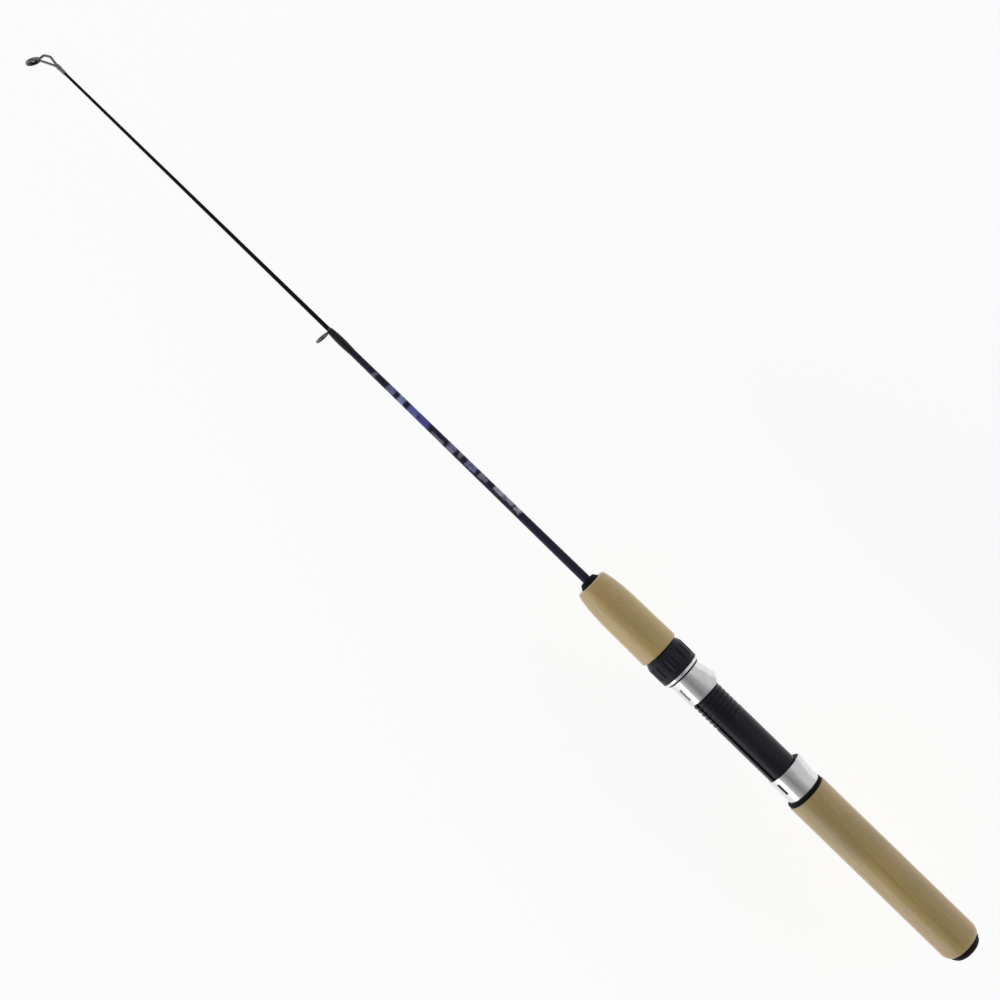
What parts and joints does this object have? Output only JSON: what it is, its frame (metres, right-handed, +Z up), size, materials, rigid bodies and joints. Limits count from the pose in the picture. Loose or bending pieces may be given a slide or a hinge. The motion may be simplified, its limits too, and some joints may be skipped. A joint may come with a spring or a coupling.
{
  "type": "ice fishing rod",
  "caption": "Short two-section telescopic rod for fishing through ice, with wooden grips and a screw-lock reel seat whose nut drives a sliding hood.",
  "frame": {"origin": "centre of the butt cap's flat end face, on the rod's axis", "axes": "+X along the rod from butt to tip; +Y the side that the line guides stand out on, opposite the reel-foot pockets; +Z up with the rod lying level"},
  "size_m": [0.6096, 0.0216, 0.0212],
  "materials": {
    "blank_black": null,
    "guide_steel": "grey steel wire and tube",
    "guide_ceramic": "polished, dark",
    "wrap_black": "black thread under a clear coat",
    "rubber_black": "moulded, satin",
    "grip_wood": "pale tan wood, lightly varnished",
    "arbor_plastic": "matt bush, hidden inside the seat",
    "seat_black": "moulded, satin black",
    "trim_chrome": "bright ring",
    "hood_metal": "bright pressed sheet"
  },
  "bodies": {
    "rod": {"lower_blank": "blank_black", "blank_end_plug": "rubber_black", "guide_collar": "guide_steel", "guide_ring": "guide_steel", "ferrule_wrap": "wrap_black", "winding_check": "rubber_black", "foregrip": "grip_wood", "front_arbor": "arbor_plastic", "rear_arbor": "arbor_plastic", "reel_seat_barrel": "seat_black", "rear_hood": "hood_metal", "rear_trim_ring": "rubber_black", "rear_grip": "grip_wood", "butt_cap": "rubber_black"},
    "tip_section": {"tip_blank": "blank_black", "tip_top_tube": "guide_steel", "tip_top_frame": "guide_steel", "tip_top_insert": "guide_ceramic"},
    "hood": {"sliding_hood": "hood_metal"},
    "nut": {"locking_nut": "seat_black", "nut_trim_ring": "trim_chrome", "nut_collar": "seat_black"}
  },
  "joints": [
    {"name": "tip_slide", "type": "slide", "parent": "rod", "child": "tip_section", "axis": [-1, 0, 0], "range_m": [0, 0.1726]},
    {"name": "hood_slide", "type": "slide", "parent": "rod", "child": "hood", "axis": [-1, 0, 0], "range_m": [0, 0.0275]},
    {"name": "nut_spin", "type": "hinge", "parent": "hood", "child": "nut", "pos_m": [0.1956, 0, 0], "axis": [-1, 0, 0], "range_deg": [0, 3960]}
  ],
  "couplings": [
    {"joint": "hood_slide", "follows": "nut_spin", "m_per_rad": 0.00039789}
  ]
}
